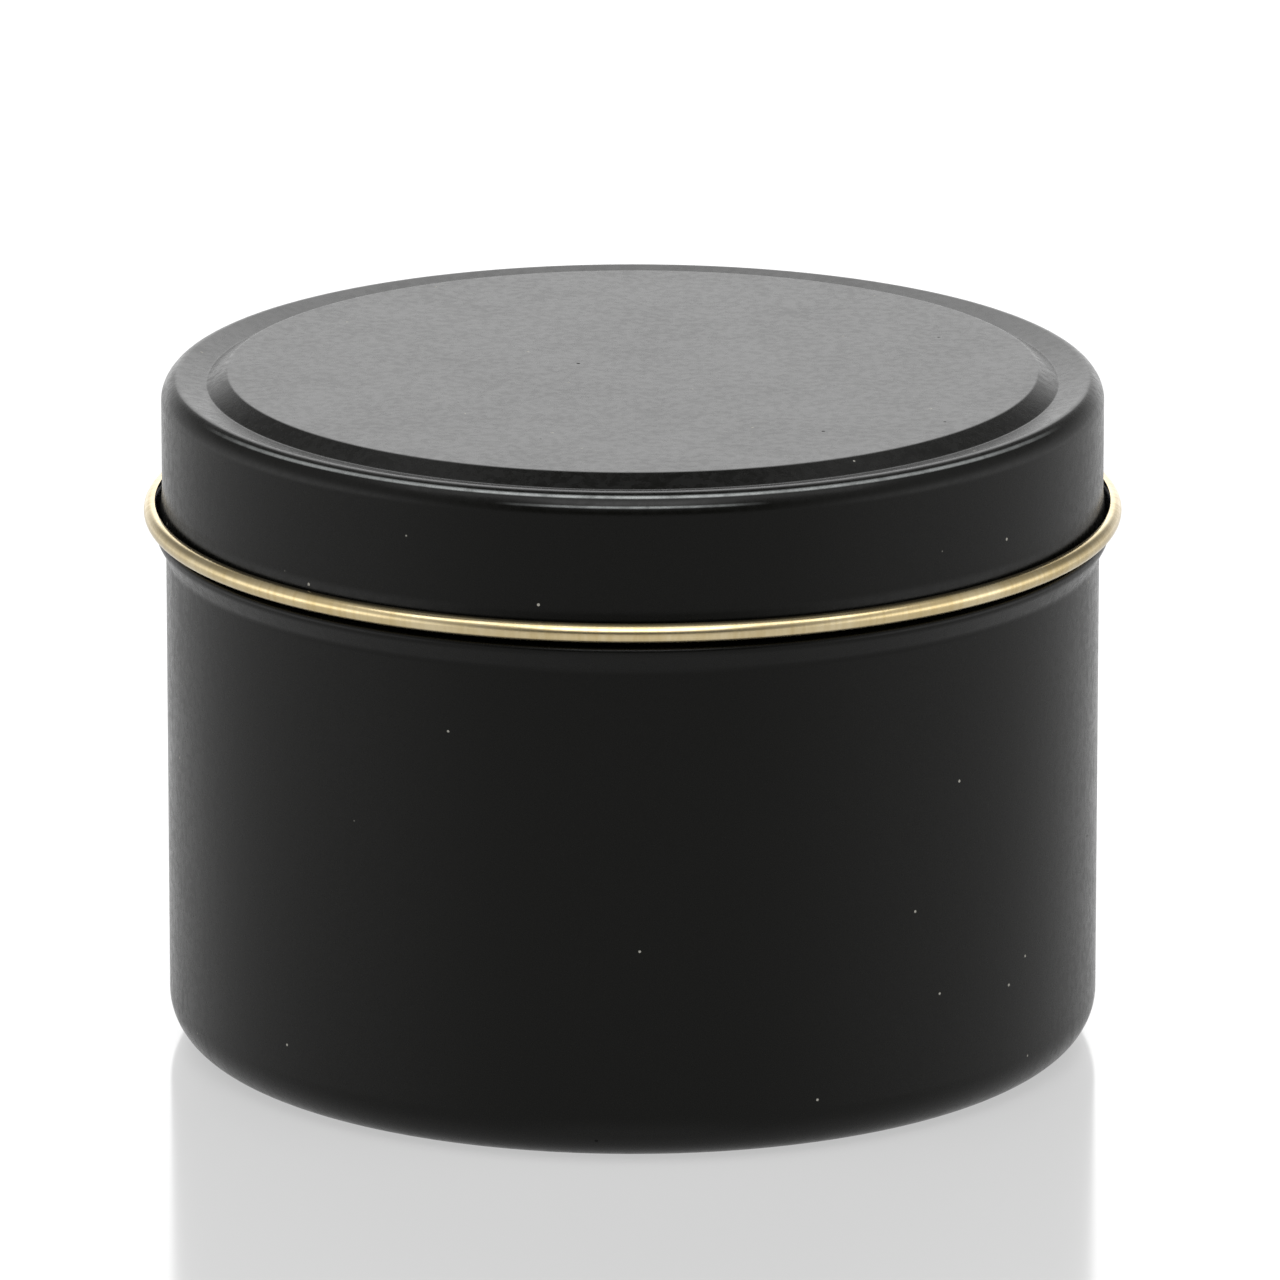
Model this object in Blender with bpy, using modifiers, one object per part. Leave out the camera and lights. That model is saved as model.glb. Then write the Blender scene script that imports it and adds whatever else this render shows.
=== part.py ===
"""Candle tin: a drawn tin body and its slip lid, modelled as two shells of bent sheet.

Each piece is the turned profile of its outer face, swept round Z by a Screw modifier and
given its sheet thickness by Solidify. The base rests on Z = 0 and Z is the axis of the tin.
"""

from math import cos, pi, radians, sin

import bpy

MM = 0.001
TURN_STEPS = 64
MERGE = 0.0001

# The sheet, and the sizes that drive the tin.
SHEET = 0.25 * MM
OVERALL_HEIGHT = 56.2 * MM
LID_RADIUS = 38.5 * MM
BODY_RADIUS = 38.2 * MM
CLEARANCE = 0.3 * MM

# Lid: the raised panel, the sloping step round it, the dished flange and the skirt.
PANEL_RADIUS = 33.1 * MM
PANEL_RISE = 1.0 * MM
STEP_FOOT_RADIUS = 34.8 * MM
FLANGE_RISE = 0.5 * MM
FLANGE_BEND = 1.45 * MM
PRESSED_EDGE = 0.3 * MM

# Lid: the skirt's edge is flared a little and curled outwards into an open bead.
CURL_RADIUS = 0.78 * MM
CURL_OUTSIDE = 40.0 * MM
CURL_HEIGHT = 44.62 * MM
FLARE_LENGTH = 1.5 * MM
CURL_END = 112.0

# Body: base corner, standing ring, recessed base panel, stop bead, neck and rolled rim.
BASE_CORNER = 4.0 * MM
RING_INSIDE = 32.4 * MM
RECESS_RADIUS = 31.4 * MM
RECESS_DEPTH = 0.6 * MM
BEAD_FOOT = 41.2 * MM
BEAD_OUTSIDE = 39.0 * MM
BEAD_HEIGHT = 42.8 * MM
BEAD_BEND = 0.6 * MM
BEAD_SLOPE = 28.0
BEAD_FILLET = 0.3 * MM
NECK_RADIUS = 37.9 * MM
RIM_RADIUS = 0.75 * MM
RIM_END = 262.0

LACQUER_OUTSIDE = (0.0075, 0.0075, 0.007, 1.0)


def arc(centre, radius, start, end, steps):
    """Points (r, z) from start to end degrees round centre, counted from +r towards +z."""
    span = end - start
    angles = [radians(start + span * step / steps) for step in range(steps + 1)]
    return [(centre[0] + radius * cos(a), centre[1] + radius * sin(a)) for a in angles]


def lid_profile():
    """The lid's outer face, from the middle of the panel out and down to the curl's raw edge."""
    foot_height = OVERALL_HEIGHT - PANEL_RISE
    bend_centre = (LID_RADIUS - FLANGE_BEND, foot_height + FLANGE_RISE - FLANGE_BEND)
    curl_centre = (CURL_OUTSIDE - CURL_RADIUS, CURL_HEIGHT)
    slope = (STEP_FOOT_RADIUS - PANEL_RADIUS, -PANEL_RISE)
    reach = PRESSED_EDGE / abs(slope[1])
    points = [
        (0.0, OVERALL_HEIGHT),
        (PANEL_RADIUS - PRESSED_EDGE, OVERALL_HEIGHT),
        (PANEL_RADIUS + slope[0] * reach / 2, OVERALL_HEIGHT + slope[1] * reach / 4),
        (STEP_FOOT_RADIUS - slope[0] * reach / 2, foot_height - slope[1] * reach / 4),
        (STEP_FOOT_RADIUS + PRESSED_EDGE, foot_height + FLANGE_RISE * 0.1),
    ]
    points += arc(bend_centre, FLANGE_BEND, 90.0, 0.0, 5)
    points.append((LID_RADIUS, CURL_HEIGHT + FLARE_LENGTH))
    points += arc(curl_centre, CURL_RADIUS - SHEET, 180.0, 360.0 + CURL_END, 11)
    return points


def body_profile():
    """The body's outer face, from the rim's raw edge over the neck and wall to the base's middle."""
    rim_top = OVERALL_HEIGHT - PANEL_RISE + FLANGE_RISE - SHEET - CLEARANCE
    rim_centre = (NECK_RADIUS - RIM_RADIUS, rim_top - RIM_RADIUS)
    bead_centre = (BEAD_OUTSIDE - BEAD_BEND, BEAD_HEIGHT)
    fillet_centre = (NECK_RADIUS + BEAD_FILLET, BEAD_HEIGHT + BEAD_BEND + BEAD_FILLET)
    corner_centre = (BODY_RADIUS - BASE_CORNER, BASE_CORNER)
    points = arc(rim_centre, RIM_RADIUS, RIM_END, 0.0, 9)
    points += arc(fillet_centre, BEAD_FILLET, 180.0, 270.0, 3)
    points += arc(bead_centre, BEAD_BEND, 90.0, -BEAD_SLOPE, 6)
    points.append((BODY_RADIUS, BEAD_FOOT))
    points += arc(corner_centre, BASE_CORNER, 0.0, -90.0, 6)
    points += [
        (RING_INSIDE, 0.0),
        (RECESS_RADIUS, RECESS_DEPTH),
        (0.0, RECESS_DEPTH),
    ]
    return points


def lacquer(name, colour, roughness):
    """A black lacquer over tinplate."""
    material = bpy.data.materials.new(name)
    material.use_nodes = True
    shader = material.node_tree.nodes["Principled BSDF"]
    shader.inputs["Base Color"].default_value = colour
    shader.inputs["Roughness"].default_value = roughness
    shader.inputs["Metallic"].default_value = 0.0
    material.diffuse_color = colour
    return material


def turned_shell(name, profile, material, collection):
    """A shell of sheet whose outer face is the profile turned round Z."""
    mesh = bpy.data.meshes.new(name)
    edges = [(index, index + 1) for index in range(len(profile) - 1)]
    mesh.from_pydata([(r, 0.0, z) for r, z in profile], edges, [])
    mesh.materials.append(material)
    shell = bpy.data.objects.new(name, mesh)
    collection.objects.link(shell)

    turn = shell.modifiers.new("turn", "SCREW")
    turn.angle = 2 * pi
    turn.axis = "Z"
    turn.steps = TURN_STEPS
    turn.render_steps = TURN_STEPS
    turn.use_merge_vertices = True
    turn.merge_threshold = MERGE
    turn.use_smooth_shade = True

    sheet = shell.modifiers.new("sheet", "SOLIDIFY")
    sheet.thickness = SHEET
    sheet.offset = -1.0
    sheet.use_even_offset = True
    sheet.use_quality_normals = True
    return shell


def clear_scene():
    """Removes the objects that the file opened with."""
    for existing in list(bpy.data.objects):
        bpy.data.objects.remove(existing, do_unlink=True)


def main():
    clear_scene()
    parts = bpy.data.collections.new("candle_tin")
    bpy.context.scene.collection.children.link(parts)

    # The lid lifts along Z, so its parent empty stands on the axis at the stop bead's height.
    lift = bpy.data.objects.new("lid_lift_axis", None)
    lift.location.z = BEAD_HEIGHT
    lift.empty_display_size = BODY_RADIUS
    parts.objects.link(lift)

    satin_black = lacquer("satin_black_lacquer", LACQUER_OUTSIDE, 0.42)
    turned_shell("tin_body", body_profile(), satin_black, parts)
    lid = turned_shell("lid", lid_profile(), lacquer("lid_black_lacquer", LACQUER_OUTSIDE, 0.38), parts)
    lid.parent = lift
    lid.location.z = -BEAD_HEIGHT


main()
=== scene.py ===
"""Looks of a black candle tin with a slip lid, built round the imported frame.

The tin is two pieces of drawn tinplate: the body and the lid. Each is modelled as what it is, one
sheet of constant thickness, lacquered black on the outside and gold on the inside. Where the
sheet's edge is curled over, the side that faces out changes: the lid's edge curls outwards and
shows the gold side as a ring, and the body's rim rolls inwards and stays black.
"""

import logging
from dataclasses import dataclass, field
from enum import IntEnum
from math import asin, atan2, cos, hypot, pi, radians, sin, tan

import bmesh
import bpy
from mathutils import Euler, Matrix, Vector

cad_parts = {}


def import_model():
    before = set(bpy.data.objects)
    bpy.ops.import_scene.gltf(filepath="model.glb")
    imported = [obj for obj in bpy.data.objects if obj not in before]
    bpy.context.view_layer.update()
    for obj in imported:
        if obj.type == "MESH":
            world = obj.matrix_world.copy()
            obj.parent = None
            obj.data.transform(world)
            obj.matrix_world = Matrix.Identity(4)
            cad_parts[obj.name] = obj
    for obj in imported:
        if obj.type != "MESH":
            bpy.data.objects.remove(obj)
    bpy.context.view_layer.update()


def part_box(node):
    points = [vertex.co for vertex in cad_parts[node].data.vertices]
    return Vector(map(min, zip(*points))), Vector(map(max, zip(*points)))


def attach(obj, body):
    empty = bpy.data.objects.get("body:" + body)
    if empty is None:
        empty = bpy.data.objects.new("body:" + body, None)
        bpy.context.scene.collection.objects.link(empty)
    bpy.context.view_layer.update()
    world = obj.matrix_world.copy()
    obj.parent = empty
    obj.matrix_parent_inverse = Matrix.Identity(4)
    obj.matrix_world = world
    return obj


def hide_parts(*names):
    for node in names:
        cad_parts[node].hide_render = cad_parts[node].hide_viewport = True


LOG = logging.getLogger("candle_tin")
MM = 0.001
TAU = 2.0 * pi
TURN_STEPS = 240
WELD_DISTANCE = 1e-7
SHARP_ANGLE = radians(40.0)
LONG_EDGE = 0.8 * MM
HALF_LONG = LONG_EDGE / 2.0
SUPPORT_REACH = 0.1 * MM

Socket = bpy.types.NodeSocket
Tree = bpy.types.NodeTree


# ---------------------------------------------------------------------------------------------
# Nodes
# ---------------------------------------------------------------------------------------------


def linear(hex_colour: str) -> tuple[float, float, float, float]:
    """Turns an sRGB hex colour into the linear colour that a shader takes.

    Args:
        hex_colour: Six hex digits, such as "d8c596".

    Returns:
        Red, green, blue and an alpha of 1.
    """
    shares = [int(hex_colour[place : place + 2], 16) / 255.0 for place in (0, 2, 4)]
    red, green, blue = (s / 12.92 if s <= 0.04045 else ((s + 0.055) / 1.055) ** 2.4 for s in shares)
    return red, green, blue, 1.0


def add_node(
    tree: Tree, kind: str, sockets: dict | None = None, **settings: object
) -> bpy.types.Node:
    """Adds a node with its settings and links.

    Args:
        tree: The node tree that gets the node.
        kind: The node's type, such as "ShaderNodeMath".
        sockets: Input name or number, with a value to set or a socket to link from.
        **settings: Properties of the node.

    Returns:
        The new node.
    """
    node = tree.nodes.new(kind)
    for name, value in settings.items():
        setattr(node, name, value)
    for name, value in (sockets or {}).items():
        if isinstance(value, Socket):
            tree.links.new(value, node.inputs[name])
        else:
            node.inputs[name].default_value = value
    return node


def math(tree: Tree, operation: str, *values: float | Socket) -> Socket:
    """Works out one number from one, two or three others."""
    return add_node(tree, "ShaderNodeMath", dict(enumerate(values)), operation=operation).outputs[0]


def vector_math(tree: Tree, operation: str, *values: Vector | tuple | Socket) -> Socket:
    """Works out one vector from one or two others."""
    node = add_node(tree, "ShaderNodeVectorMath", dict(enumerate(values)), operation=operation)
    return node.outputs["Vector"]


def remap(tree: Tree, value: Socket, low: float, high: float, start: float, end: float) -> Socket:
    """Maps low..high onto start..end with soft ends, and holds it there outside.

    Args:
        tree: The node tree.
        value: The number to map.
        low: The value that gives start.
        high: The value that gives end.
        start: The result at low.
        end: The result at high.

    Returns:
        The mapped number.
    """
    sockets = {0: value, 1: low, 2: high, 3: start, 4: end}
    return add_node(tree, "ShaderNodeMapRange", sockets, interpolation_type="SMOOTHSTEP").outputs[0]


def blend(tree: Tree, share: Socket, first: tuple | Socket, second: tuple | Socket) -> Socket:
    """Mixes two colours.

    Args:
        tree: The node tree.
        share: How much of the second colour shows.
        first: The colour where share is 0.
        second: The colour where share is 1.

    Returns:
        The mixed colour.
    """
    mixer = add_node(tree, "ShaderNodeMix", {0: share, 6: first, 7: second}, data_type="RGBA")
    return mixer.outputs[2]


def object_place(tree: Tree) -> Socket:
    """Where on the piece a point lies, in metres."""
    return add_node(tree, "ShaderNodeTexCoord").outputs["Object"]


def grain(tree: Tree, place: Socket, size: float, detail: float = 2.0) -> Socket:
    """Even cloudy noise whose spots are about size metres across, from 0 to 1."""
    sockets = {"Vector": place, "Scale": 1.0 / size, "Detail": detail, "Roughness": 0.55}
    return add_node(tree, "ShaderNodeTexNoise", sockets).outputs[0]


def round_the_axis(tree: Tree, place: Socket, radius: float, upright_share: float) -> Socket:
    """Coordinates that change with the way round the axis, and only a little with height.

    A pattern read from them makes upright streaks, with no seam where the turn closes.

    Args:
        tree: The node tree.
        place: Object coordinates.
        radius: The radius of the surface, which keeps lengths round it true.
        upright_share: How much of the height is kept.

    Returns:
        The streaks' coordinates, in metres.
    """
    flat = vector_math(tree, "MULTIPLY", place, (1.0, 1.0, 0.0))
    outwards = vector_math(tree, "NORMALIZE", flat)
    ring = vector_math(tree, "MULTIPLY", outwards, (radius, radius, 0.0))
    rise = vector_math(tree, "MULTIPLY", place, (0.0, 0.0, upright_share))
    return vector_math(tree, "ADD", ring, rise)


def off_axis(tree: Tree, place: Socket) -> Socket:
    """How far from the axis a point lies, in metres."""
    flat = vector_math(tree, "MULTIPLY", place, (1.0, 1.0, 0.0))
    return add_node(tree, "ShaderNodeVectorMath", {0: flat}, operation="LENGTH").outputs["Value"]


def flecks(tree: Tree, place: Socket, spacing: float, radius: float) -> Socket:
    """Sparse round flecks, 1 inside a fleck and 0 outside.

    Args:
        tree: The node tree.
        place: Object coordinates.
        spacing: Distance between the cells that may each hold a fleck, in metres.
        radius: The largest fleck's radius, in metres.

    Returns:
        The flecks' mask.
    """
    sockets = {"Vector": place, "Scale": 1.0 / spacing}
    distance = add_node(tree, "ShaderNodeTexVoronoi", sockets).outputs["Distance"]
    return remap(tree, distance, 0.6 * radius / spacing, radius / spacing, 1.0, 0.0)


def bumped(tree: Tree, height: Socket, depth: float, under: Socket | None = None) -> Socket:
    """Surface relief.

    Args:
        tree: The node tree.
        height: The relief, from 0 to 1.
        depth: How far 1 stands above 0, in metres.
        under: A normal from coarser relief to build on.

    Returns:
        The normal.
    """
    sockets = {"Height": height, "Distance": depth, "Strength": 1.0}
    if under is not None:
        sockets["Normal"] = under
    return add_node(tree, "ShaderNodeBump", sockets).outputs["Normal"]


def new_finish(name: str, sockets: dict) -> tuple[bpy.types.Material, bpy.types.Node]:
    """Makes a material with one Principled shader.

    Args:
        name: The finish's plain name.
        sockets: Plain values for the shader's sockets.

    Returns:
        The material and its shader.
    """
    material = bpy.data.materials.new(name)
    material.use_nodes = True
    shader = material.node_tree.nodes["Principled BSDF"]
    for socket, value in sockets.items():
        shader.inputs[socket].default_value = value
    return material, shader


# ---------------------------------------------------------------------------------------------
# Finishes
# ---------------------------------------------------------------------------------------------


@dataclass(frozen=True)
class RubAndHighlight:
    """A ring where packing has rubbed the lacquer through to the tin. It is also a painted
    highlight line, strongest at the front where the camera looks.

    The ring is half_width deep above and below its height, and strength is how much of the tin
    shows through it. The fade angles are measured from the front, round the axis: the wear and its
    painted highlight are full up to fade_start and gone at fade_end.
    """

    height: float
    half_width: float
    strength: float
    fade_start: float
    fade_end: float

    def ring(self, tree: Tree, axes: bpy.types.NodeOutputs, radius: float) -> Socket:
        """How far this ring is worn through, which paints a highlight line at the front.

        Args:
            tree: The node tree.
            axes: The X, Y and Z of the point.
            radius: The radius of the piece.

        Returns:
            The ring's wear and painted highlight, from 0 to its strength.
        """
        off_line = math(tree, "ABSOLUTE", math(tree, "SUBTRACT", axes["Z"], self.height))
        shape = remap(tree, off_line, 0.2 * self.half_width, self.half_width, self.strength, 0.0)
        # Fades out away from the front, so the bare tin paints a highlight only where the camera
        # looks.
        gone, full = -cos(self.fade_end) * radius, -cos(self.fade_start) * radius
        return math(tree, "MULTIPLY", shape, remap(tree, axes["Y"], gone, full, 0.0, 1.0))


@dataclass(frozen=True)
class BlackLacquer:
    """Matt black lacquer, rolled on flat sheet, baked and then drawn with it.

    The matting powder in it breaks a reflection into fine grain, and the drawing leaves faint
    upright streaks on the walls. Pale dust sits on it here and there, and a few small pits keep the
    light out of the mirror image. A bend can carry rubbed rings, where the film is worn thin to the
    tin. Because they are kept to the front, they also paint highlight lines there.
    """

    name: str
    radius: float
    film: str = "060604"
    dust: str = "a09e96"
    tin: str = "c9cdcc"
    gloss_index: float = 1.27
    roughness: float = 0.27
    speck_roughness: float = 0.9
    cloud_change: float = 0.015
    mottle_change: float = 0.035
    streak_change: float = 0.008
    grain_size: float = 0.3 * MM
    grain_depth: float = 0.0022 * MM
    streak_depth: float = 0.0008 * MM
    peel_size: float = 1.1 * MM
    peel_depth: float = 0.008 * MM
    mottle_size: float = 0.7 * MM
    cloud_size: float = 6.0 * MM
    streak_size: float = 1.3 * MM
    dust_spacing: float = 4.0 * MM
    dust_radius: float = 0.15 * MM
    pit_spacing: float = 7.0 * MM
    pit_radius: float = 0.2 * MM
    rub_and_highlight_patch: float = 1.1 * MM
    rubs_and_highlights: tuple[RubAndHighlight, ...] = ()

    def worn_and_highlit(self, tree: Tree, place: Socket) -> Socket:
        """How far the film is worn through to the tin, in rings that also paint highlight lines at
        the front.

        Args:
            tree: The node tree.
            place: Object coordinates.

        Returns:
            The wear and painted highlight, from 0 to 1.
        """
        axes = add_node(tree, "ShaderNodeSeparateXYZ", {0: place}).outputs
        patches = remap(tree, grain(tree, place, self.rub_and_highlight_patch, 4.0), 0.3, 0.62, 0.6, 1.0)
        bend = remap(tree, off_axis(tree, place), 0.95 * self.radius, 0.97 * self.radius, 0.0, 1.0)
        wear_and_highlight = None
        for highlight_rub in self.rubs_and_highlights:
            ring = highlight_rub.ring(tree, axes, self.radius)
            wear_and_highlight = ring if wear_and_highlight is None else math(tree, "MAXIMUM", wear_and_highlight, ring)
        return math(tree, "MULTIPLY", math(tree, "MULTIPLY", wear_and_highlight, bend), patches)

    def make(self) -> bpy.types.Material:
        """Builds the material.

        Returns:
            The finish, ready for a slot.
        """
        fixed = {"Metallic": 0.0, "IOR": self.gloss_index, "Specular IOR Level": 0.5}
        material, shader = new_finish(self.name, fixed)
        tree = material.node_tree
        place = object_place(tree)

        dust = flecks(tree, place, self.dust_spacing, self.dust_radius)
        clouds = grain(tree, place, self.cloud_size, 3.0)
        along = round_the_axis(tree, place, self.radius, 0.04)
        walls = remap(tree, off_axis(tree, place), 0.94 * self.radius, 0.98 * self.radius, 0.0, 1.0)
        streaks = math(tree, "MULTIPLY", grain(tree, along, self.streak_size, 3.0), walls)

        colour = blend(tree, dust, linear(self.film), linear(self.dust))
        smooth, rough = self.roughness - self.cloud_change, self.roughness + self.cloud_change
        cloudy = remap(tree, clouds, 0.3, 0.7, smooth, rough)
        streaky = remap(tree, streaks, 0.35, 0.65, -self.streak_change, self.streak_change)
        mottle = grain(tree, place, self.mottle_size, 3.0)
        mottled = remap(tree, mottle, 0.35, 0.65, -self.mottle_change, self.mottle_change)
        matt = math(tree, "ADD", math(tree, "ADD", cloudy, mottled), streaky)
        aside = vector_math(tree, "ADD", place, (self.radius, 0.0, 0.0))
        pits = flecks(tree, aside, self.pit_spacing, self.pit_radius)
        specks = math(tree, "MULTIPLY", math(tree, "MAXIMUM", dust, pits), self.speck_roughness)
        matt = math(tree, "MAXIMUM", matt, specks)
        # Bare tin in the rubbed rings gives wear, and a painted highlight at the front.
        if self.rubs_and_highlights:
            wear_and_highlight = self.worn_and_highlit(tree, place)
            colour = blend(tree, wear_and_highlight, colour, linear(self.tin))
            tree.links.new(wear_and_highlight, shader.inputs["Metallic"])
        tree.links.new(colour, shader.inputs["Base Color"])
        tree.links.new(matt, shader.inputs["Roughness"])

        soft = bumped(tree, streaks, self.streak_depth)
        peel = bumped(tree, grain(tree, place, self.peel_size, 2.0), self.peel_depth, soft)
        fine = bumped(tree, grain(tree, place, self.grain_size, 3.0), self.grain_depth, peel)
        tree.links.new(fine, shader.inputs["Normal"])
        return material


@dataclass(frozen=True)
class GoldLacquer:
    """Clear gold food-can lacquer over bright tinplate.

    The tin under it makes it metallic, the resin gives the pale brass colour, and the stretched
    sheet shows hairlines that run the way it was drawn.
    """

    name: str
    radius: float
    light: str = "dccca6"
    deep: str = "c5b080"
    roughness: float = 0.22
    hairline_size: float = 0.5 * MM
    hairline_depth: float = 0.0012 * MM
    grain_size: float = 0.2 * MM
    grain_depth: float = 0.0005 * MM
    cloud_size: float = 6.0 * MM

    def make(self) -> bpy.types.Material:
        """Builds the material.

        Returns:
            The finish, ready for a slot.
        """
        material, shader = new_finish(self.name, {"Metallic": 1.0})
        tree = material.node_tree
        place = object_place(tree)
        along = round_the_axis(tree, place, self.radius, 0.08)
        hairlines = grain(tree, along, self.hairline_size, 4.0)
        clouds = grain(tree, place, self.cloud_size, 3.0)
        tone = remap(tree, clouds, 0.3, 0.7, 0.0, 0.6)
        tone = math(tree, "ADD", tone, remap(tree, hairlines, 0.3, 0.7, 0.0, 0.4))
        colour = blend(tree, tone, linear(self.light), linear(self.deep))
        tree.links.new(colour, shader.inputs["Base Color"])
        matt = remap(tree, hairlines, 0.3, 0.7, self.roughness - 0.02, self.roughness + 0.03)
        tree.links.new(matt, shader.inputs["Roughness"])
        lines = bumped(tree, hairlines, self.hairline_depth)
        fine = bumped(tree, grain(tree, place, self.grain_size, 2.0), self.grain_depth, lines)
        tree.links.new(fine, shader.inputs["Normal"])
        return material


@dataclass(frozen=True)
class ShearedEdge:
    """The bare steel core of tinplate where the blank was cut: grey, with fine shear marks."""

    name: str = "sheared_tinplate_edge"
    light: str = "cfccc4"
    dark: str = "8e8b84"
    roughness: float = 0.38
    mark_size: float = 0.25 * MM
    mark_depth: float = 0.01 * MM

    def make(self) -> bpy.types.Material:
        """Builds the material.

        Returns:
            The finish, ready for a slot.
        """
        material, shader = new_finish(self.name, {"Metallic": 1.0, "Roughness": self.roughness})
        tree = material.node_tree
        marks = grain(tree, object_place(tree), self.mark_size, 3.0)
        colour = blend(tree, marks, linear(self.light), linear(self.dark))
        tree.links.new(colour, shader.inputs["Base Color"])
        tree.links.new(bumped(tree, marks, self.mark_depth), shader.inputs["Normal"])
        return material


@dataclass(frozen=True)
class WhiteAcrylic:
    """Polished opal acrylic sheet lit from below: white, with a soft mirror image on it."""

    name: str = "opal_acrylic_sheet"
    light: str = "7e7e7e"
    dark: str = "797979"
    glow: float = 0.5
    roughness: float = 0.12
    index: float = 1.49
    cloud_size: float = 60.0 * MM

    def make(self) -> bpy.types.Material:
        """Builds the material.

        Returns:
            The finish, ready for a slot.
        """
        fixed = {
            "Roughness": self.roughness,
            "IOR": self.index,
            "Emission Color": linear("ffffff"),
            "Emission Strength": self.glow,
        }
        material, shader = new_finish(self.name, fixed)
        tree = material.node_tree
        clouds = grain(tree, object_place(tree), self.cloud_size, 2.0)
        colour = blend(tree, clouds, linear(self.light), linear(self.dark))
        tree.links.new(colour, shader.inputs["Base Color"])
        return material


# ---------------------------------------------------------------------------------------------
# Shells of drawn sheet
# ---------------------------------------------------------------------------------------------


class Side(IntEnum):
    """A shell's material slots: the two sides of the sheet and its cut edge."""

    OUTSIDE = 0
    INSIDE = 1
    CUT_EDGE = 2


@dataclass(frozen=True)
class Corner:
    """A corner of a section's outline, in metres, and how it is rounded."""

    radius: float
    height: float
    rounding: float = 0.0
    segments: int = 0

    @property
    def point(self) -> Vector:
        """The corner in the plane Y = 0."""
        return Vector((self.radius, 0.0, self.height))


@dataclass(frozen=True)
class Curl:
    """The edge of the sheet turned over about a centre, from the end of a section's outline."""

    radius: float
    height: float
    sweep: float
    segments: int


@dataclass
class DrawnSheet:
    """One piece of tinplate pressed to a turned shape.

    The section is the sheet's black side. The gold side lies one thickness behind it.
    """

    name: str
    node: str
    body: str
    slot: str
    sheet: float = 0.25 * MM
    outside_z: float = 1.0
    piece: bpy.types.Object | None = None
    low: Vector = field(init=False)
    high: Vector = field(init=False)

    def __post_init__(self) -> None:
        """Reads the piece's box from the frame."""
        self.low, self.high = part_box(self.node)

    def corners(self) -> list[Corner]:
        """The section's outline, from the axis to where the curl starts."""
        raise NotImplementedError

    def curl(self) -> Curl:
        """The curled edge that ends the section."""
        raise NotImplementedError

    def finishes(self) -> list[bpy.types.Material]:
        """The materials of the shell's sides, in the order of Side."""
        raise NotImplementedError

    def draw_section(self, bm: bmesh.types.BMesh) -> None:
        """Draws half of the turned section as a chain of edges.

        Args:
            bm: The mesh to draw in.
        """
        corners = self.corners()
        chain = [bm.verts.new(corners[0].point)]
        for corner in corners[1:]:
            grown = bmesh.ops.extrude_vert_indiv(bm, verts=[chain[-1]])["verts"][0]
            grown.co = corner.point
            chain.append(grown)
        curl = self.curl()
        bmesh.ops.spin(
            bm,
            geom=[chain[-1]],
            cent=(curl.radius, 0.0, curl.height),
            axis=(0.0, -1.0, 0.0),
            angle=radians(curl.sweep),
            steps=curl.segments,
            use_merge=False,
        )
        for before, corner, after, vert in zip(corners, corners[1:], corners[2:], chain[1:]):
            if corner.rounding:
                turn = (corner.point - before.point).angle(after.point - corner.point)
                bmesh.ops.bevel(
                    bm,
                    geom=[vert],
                    offset=corner.rounding * tan(turn / 2.0),
                    offset_type="OFFSET",
                    segments=corner.segments,
                    profile=0.5,
                    affect="VERTICES",
                    material=-1,
                )

    def hold_flats(self, bm: bmesh.types.BMesh) -> None:
        """Splits each long edge close to both ends, so that the bends' shading stays off the flats.

        Args:
            bm: The mesh that holds the section.
        """
        for edge in [edge for edge in bm.edges if edge.calc_length() > LONG_EDGE]:
            near, far = edge.verts
            share = SUPPORT_REACH / edge.calc_length()
            bmesh.utils.edge_split(edge, near, share)
            rest = next(side for side in far.link_edges if side.calc_length() > HALF_LONG)
            bmesh.utils.edge_split(rest, far, SUPPORT_REACH / rest.calc_length())

    def build(self) -> bpy.types.Object:
        """Turns the section round Z, gives the sheet its thickness and makes the piece.

        Returns:
            The finished piece, at the origin, unturned and unscaled.
        """
        bm = bmesh.new()
        self.draw_section(bm)
        self.hold_flats(bm)
        bmesh.ops.spin(
            bm,
            geom=[*bm.verts, *bm.edges],
            cent=(0.0, 0.0, 0.0),
            axis=(0.0, 0.0, 1.0),
            angle=TAU,
            steps=TURN_STEPS,
            use_merge=True,
        )
        bmesh.ops.remove_doubles(bm, verts=bm.verts, dist=WELD_DISTANCE)
        bmesh.ops.recalc_face_normals(bm, faces=bm.faces)
        middle = min(bm.faces, key=lambda face: face.calc_center_median().xy.length)
        if middle.normal.z * self.outside_z < 0.0:
            bmesh.ops.reverse_faces(bm, faces=bm.faces)
        for face in bm.faces:
            face.smooth = True
        sheet_mesh = bpy.data.meshes.new(self.name)
        bm.to_mesh(sheet_mesh)
        bm.free()

        self.piece = bpy.data.objects.new(self.name, sheet_mesh)
        bpy.context.scene.collection.objects.link(self.piece)
        thicken = self.piece.modifiers.new("sheet", "SOLIDIFY")
        thicken.thickness = self.sheet
        thicken.offset = -1.0
        thicken.use_even_offset = True
        thicken.material_offset = int(Side.INSIDE)
        thicken.material_offset_rim = int(Side.CUT_EDGE)
        for finish in self.finishes():
            sheet_mesh.materials.append(finish)
        self.settle()
        return self.piece

    def settle(self) -> None:
        """Applies the thickness, and keeps the cut edge's corners sharp."""
        graph = bpy.context.evaluated_depsgraph_get()
        solid = bpy.data.meshes.new_from_object(self.piece.evaluated_get(graph))
        solid.set_sharp_from_angle(angle=SHARP_ANGLE)
        self.piece.modifiers.clear()
        self.piece.data = solid

    def place(self) -> None:
        """Rides on the body of the frame and stands for the CAD node."""
        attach(self.piece, self.body)
        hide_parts(self.node)


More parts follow.
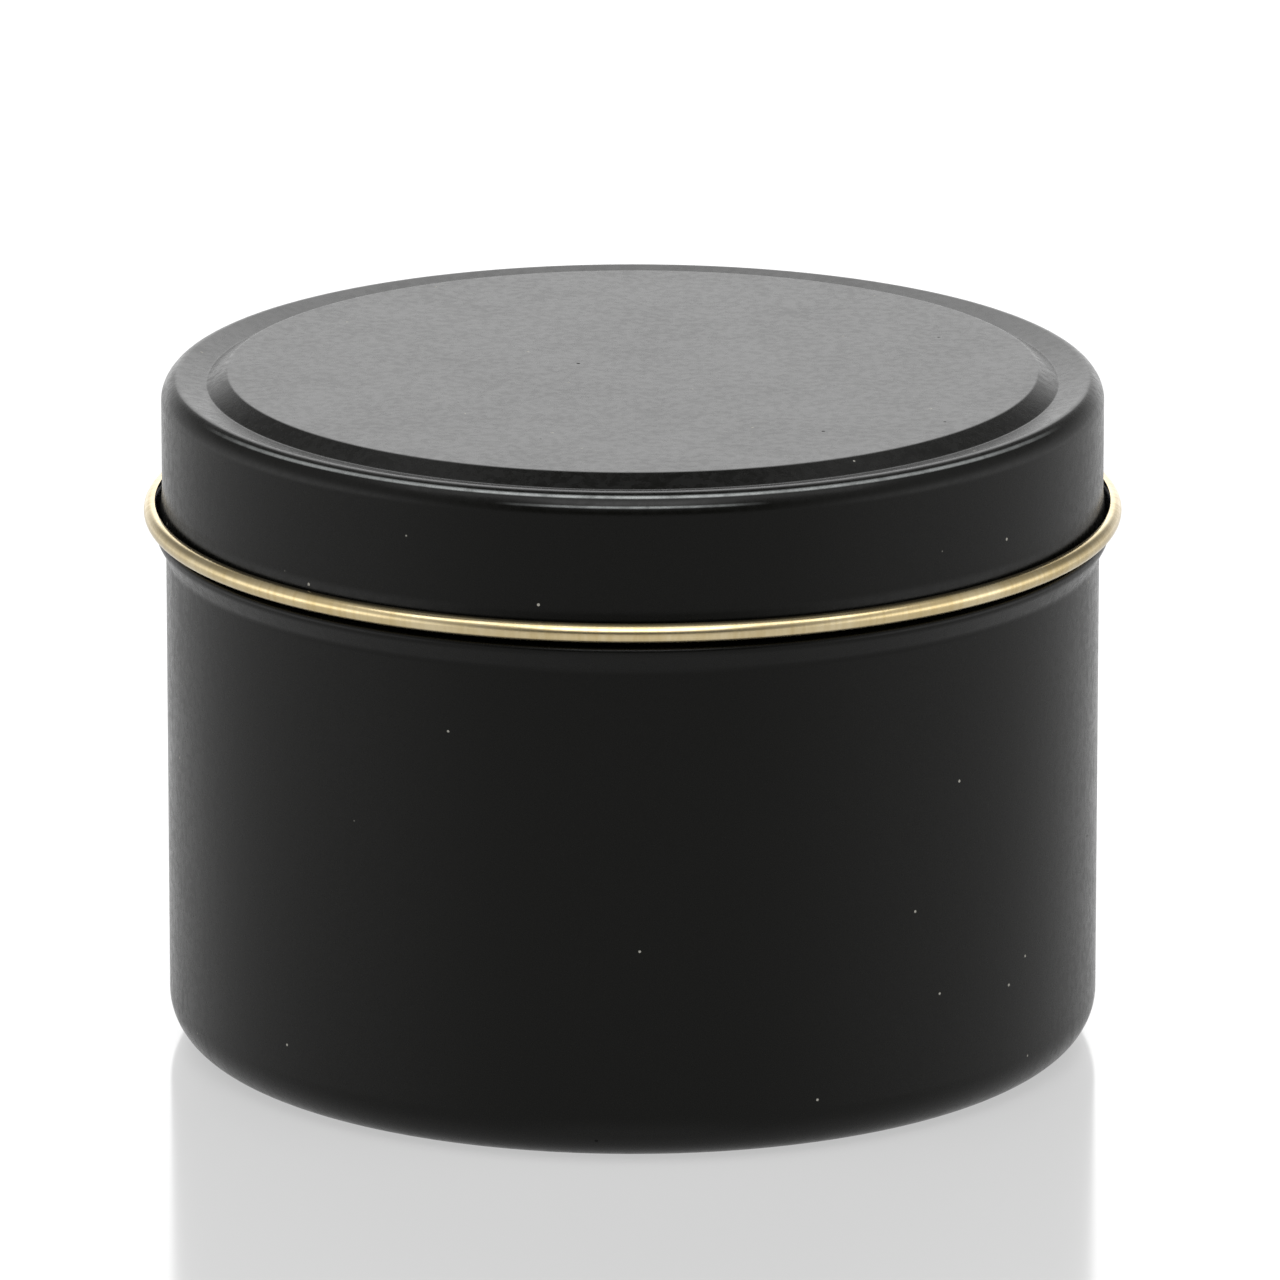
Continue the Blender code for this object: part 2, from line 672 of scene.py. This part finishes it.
@dataclass
class SlipLid(DrawnSheet):
    """The lid: raised panel, sloping step, dished flange, round bend, skirt and open curl."""

    name: str = "lid_shell"
    node: str = "lid"
    body: str = "lid"
    slot: str = "lid_lacquer"
    radius: float = 38.5 * MM
    panel_radius: float = 33.1 * MM
    panel_rise: float = 1.0 * MM
    step_foot_radius: float = 34.8 * MM
    flange_rise: float = 0.5 * MM
    crest_radius: float = 37.15 * MM
    crest_bend: float = 0.6 * MM
    crest_turn: float = radians(25.0)
    pressed_edge: float = 0.35 * MM
    foot_bend: float = 0.15 * MM
    curl_radius: float = 0.78 * MM
    flare: float = 1.5 * MM
    flare_bend: float = 3.0 * MM
    curl_end: float = 100.0
    # Depths below the lid's top of the two rubbed rings on the bend. The rings are also painted
    # highlight lines.
    long_rub_highlight_drop: float = 0.82 * MM
    short_rub_highlight_drop: float = 1.52 * MM

    def corners(self) -> list[Corner]:
        """The outline from the middle of the panel to the skirt's flared edge.

        Returns:
            The corners, from the axis to the start of the curl.
        """
        top = self.high.z
        foot = top - self.panel_rise
        crest = foot + self.flange_rise
        hub = crest - self.crest_bend
        reach = self.crest_radius - self.step_foot_radius
        rise = hub - foot
        slope = asin(self.crest_bend / hypot(reach, rise)) + atan2(rise, reach)
        tangent = Corner(
            self.crest_radius + self.crest_bend * sin(self.crest_turn),
            hub + self.crest_bend * cos(self.crest_turn),
        )
        fall = tan(self.crest_turn)
        rise_at_foot = foot - tan(slope) * self.step_foot_radius
        meet = (tangent.height + fall * tangent.radius - rise_at_foot) / (fall + tan(slope))
        brow = foot + tan(slope) * (meet - self.step_foot_radius)
        shoulder = tangent.height - fall * (self.radius - tangent.radius)
        side_bend = (self.radius - tangent.radius) / (1.0 - sin(self.crest_turn))
        curl = self.curl()
        start = curl.radius - (self.curl_radius - self.sheet)
        return [
            Corner(0.0, top),
            Corner(self.panel_radius, top, self.pressed_edge, 6),
            Corner(self.step_foot_radius, foot, self.foot_bend, 5),
            Corner(meet, brow, self.crest_bend, 14),
            Corner(self.radius, shoulder, side_bend, 20),
            Corner(self.radius, curl.height + self.flare, self.flare_bend, 4),
            Corner(start, curl.height),
        ]

    def curl(self) -> Curl:
        """The skirt's edge, turned outwards and up, with a gap left between it and the skirt.

        Returns:
            The curl that ends the lid's section.
        """
        return Curl(
            radius=self.high.x - self.curl_radius,
            height=self.low.z + self.curl_radius,
            sweep=180.0 + self.curl_end,
            segments=36,
        )

    def finishes(self) -> list[bpy.types.Material]:
        """Black outside, gold inside, bare steel at the cut edge.

        Returns:
            One material for each Side.
        """
        # Rubbed rings at the front of the bend: wear, and painted highlight lines where the camera
        # sees them.
        rubs_and_highlights = (
            RubAndHighlight(
                height=self.high.z - self.long_rub_highlight_drop,
                half_width=0.14 * MM,
                strength=0.5,
                fade_start=radians(42.0),
                fade_end=radians(68.0),
            ),
            RubAndHighlight(
                height=self.high.z - self.short_rub_highlight_drop,
                half_width=0.13 * MM,
                strength=0.34,
                fade_start=radians(4.0),
                fade_end=radians(18.0),
            ),
        )
        black = BlackLacquer("matt_black_lacquer_lid", self.radius, rubs_and_highlights=rubs_and_highlights)
        gold = GoldLacquer("gold_lacquer_lid", self.radius)
        return [black.make(), gold.make(), ShearedEdge("sheared_edge_lid").make()]


@dataclass
class TinBody(DrawnSheet):
    """The body: recessed base, standing ring, round corner, wall, stop bead, neck, rolled rim."""

    name: str = "tin_body_shell"
    node: str = "tin_body"
    body: str = "tin"
    slot: str = "body_lacquer"
    outside_z: float = -1.0
    base_corner: float = 4.0 * MM
    recess_radius: float = 31.4 * MM
    recess_depth: float = 0.6 * MM
    ring_inside: float = 32.4 * MM
    pressed_edge: float = 0.5 * MM
    wall_radius: float = 38.2 * MM
    bead_foot: float = 41.2 * MM
    bead_top: float = 43.4 * MM
    bead_bend: float = 0.6 * MM
    bead_slope: float = radians(28.0)
    bead_foot_bend: float = 1.0 * MM
    bead_fillet: float = 0.3 * MM
    neck_radius: float = 37.9 * MM
    rim_radius: float = 0.75 * MM
    rim_end: float = 262.0

    def corners(self) -> list[Corner]:
        """The outline from the middle of the base up to the top of the neck.

        Returns:
            The corners, from the axis to the start of the rolled rim.
        """
        wall, foot = self.wall_radius, self.low.z
        brow = wall + (self.bead_top - self.bead_foot) * tan(self.bead_slope)
        return [
            Corner(0.0, foot + self.recess_depth),
            Corner(self.recess_radius, foot + self.recess_depth, self.pressed_edge, 6),
            Corner(self.ring_inside, foot, self.pressed_edge, 6),
            Corner(wall, foot, self.base_corner, 24),
            Corner(wall, foot + self.bead_foot, self.bead_foot_bend, 4),
            Corner(brow, foot + self.bead_top, self.bead_bend, 16),
            Corner(self.neck_radius, foot + self.bead_top, self.bead_fillet, 6),
            Corner(self.neck_radius, self.curl().height),
        ]

    def curl(self) -> Curl:
        """The rim, rolled inwards and down to keep the cut edge out of reach.

        Returns:
            The curl that ends the body's section.
        """
        return Curl(
            radius=self.neck_radius - self.rim_radius,
            height=self.high.z - self.rim_radius,
            sweep=self.rim_end,
            segments=32,
        )

    def finishes(self) -> list[bpy.types.Material]:
        """Black outside, gold inside, bare steel at the cut edge.

        Returns:
            One material for each Side.
        """
        black = BlackLacquer("matt_black_lacquer_body", self.wall_radius)
        gold = GoldLacquer("gold_lacquer_body", self.wall_radius)
        return [black.make(), gold.make(), ShearedEdge("sheared_edge_body").make()]


# ---------------------------------------------------------------------------------------------
# Studio
# ---------------------------------------------------------------------------------------------


@dataclass
class Studio:
    """A pale floor, soft light from above and white surroundings, and the camera."""

    floor_size: float = 8.0
    elevation: float = radians(15.5)
    distance: float = 1.175
    lens: float = 402.7
    aim: tuple[float, float, float] = (0.0006, 0.0, 0.0332)
    lamp_height: float = 0.6
    lamp_width: float = 1.0
    lamp_depth: float = 0.27
    lamp_lean: float = radians(16.0)
    lamp_radiance: float = 1.8

    def floor(self) -> bpy.types.Object:
        """Lays the sheet that the tin stands on.

        Returns:
            The floor.
        """
        bm = bmesh.new()
        bmesh.ops.create_grid(bm, x_segments=1, y_segments=1, size=self.floor_size / 2.0)
        mesh = bpy.data.meshes.new("floor")
        bm.to_mesh(mesh)
        bm.free()
        mesh.materials.append(WhiteAcrylic().make())
        floor = bpy.data.objects.new("floor", mesh)
        bpy.context.scene.collection.objects.link(floor)
        return floor

    def surroundings(self) -> bpy.types.World:
        """White paper behind, white walls at the sides and a dim room in front.

        Returns:
            The world that the tin's lacquer mirrors.
        """
        world = bpy.data.worlds.new("studio")
        bpy.context.scene.world = world
        world.use_nodes = True
        tree = world.node_tree
        tree.nodes.clear()
        way = add_node(tree, "ShaderNodeTexCoord").outputs["Generated"]
        axes = add_node(tree, "ShaderNodeSeparateXYZ", {0: way}).outputs
        # Round the horizon: a dim room in front, white walls beside, and paper right behind.
        beside = remap(tree, axes["Y"], -1.0, -0.3, 0.08, 2.1)
        aft = remap(tree, axes["Y"], -0.1, 0.75, 1.0, 0.35)
        paper = remap(tree, axes["Y"], 0.88, 0.96, 0.0, 1.08)
        behind = math(tree, "MULTIPLY", paper, remap(tree, axes["Z"], 0.15, 0.35, 0.75, 1.3))
        level = math(tree, "ADD", math(tree, "MULTIPLY", beside, aft), behind)
        # Upwards: the lit top of the paper in the middle, a fall-off beside it, a dark ceiling.
        raised = remap(tree, axes["Z"], 0.3, 0.62, 1.0, 4.6)
        sunk = remap(tree, axes["Z"], 0.05, 0.4, 1.0, 0.35)
        middle = remap(tree, math(tree, "ABSOLUTE", axes["X"]), 0.15, 0.4, 1.0, 0.0)
        gain = math(tree, "MULTIPLY", math(tree, "SUBTRACT", raised, sunk), middle)
        rise = math(tree, "ADD", sunk, gain)
        high = remap(tree, axes["Z"], 0.78, 0.93, 1.0, 0.02)
        strength = math(tree, "MULTIPLY", level, math(tree, "MULTIPLY", rise, high))
        colour = linear("ffffff")
        backdrop = add_node(tree, "ShaderNodeBackground", {"Color": colour, "Strength": strength})
        add_node(tree, "ShaderNodeOutputWorld", {"Surface": backdrop.outputs[0]})
        return world

    def lamp(self) -> bpy.types.Object:
        """Hangs the wide soft box over the tin, a little to the camera's side.

        Returns:
            The lamp.
        """
        light = bpy.data.lights.new("overhead_softbox", "AREA")
        light.shape = "RECTANGLE"
        light.size, light.size_y = self.lamp_width, self.lamp_depth
        light.energy = self.lamp_radiance * pi * self.lamp_width * self.lamp_depth
        lamp = bpy.data.objects.new("overhead_softbox", light)
        reach = Vector((0.0, -sin(self.lamp_lean), cos(self.lamp_lean))) * self.lamp_height
        lamp.location = reach
        lamp.rotation_euler = reach.to_track_quat("Z", "Y").to_euler()
        bpy.context.scene.collection.objects.link(lamp)
        return lamp

    def camera(self) -> bpy.types.Object:
        """Sets up a long lens that looks slightly down at the tin.

        Returns:
            The camera.
        """
        data = bpy.data.cameras.new("camera")
        data.lens = self.lens
        data.clip_start, data.clip_end = 0.01, 50.0
        camera = bpy.data.objects.new("camera", data)
        back = Vector((0.0, -cos(self.elevation), sin(self.elevation)))
        camera.location = Vector(self.aim) + back * self.distance
        camera.rotation_euler = Euler((pi / 2.0 - self.elevation, 0.0, 0.0))
        bpy.context.scene.collection.objects.link(camera)
        bpy.context.scene.camera = camera
        return camera

    def set_up(self) -> None:
        """Builds the whole studio."""
        self.camera()
        self.floor()
        self.surroundings()
        self.lamp()
        bpy.context.scene.view_settings.view_transform = "Standard"


def main() -> None:
    """Builds the tin round its frame, dresses it and lights it."""
    logging.basicConfig(level=logging.INFO, format="%(name)s: %(message)s")
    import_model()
    Studio().set_up()
    for shell in (TinBody(), SlipLid()):
        piece = shell.build()
        shell.place()
        LOG.info("%s: %d faces for %s", piece.name, len(piece.data.polygons), shell.node)


if __name__ == "__main__":
    main()
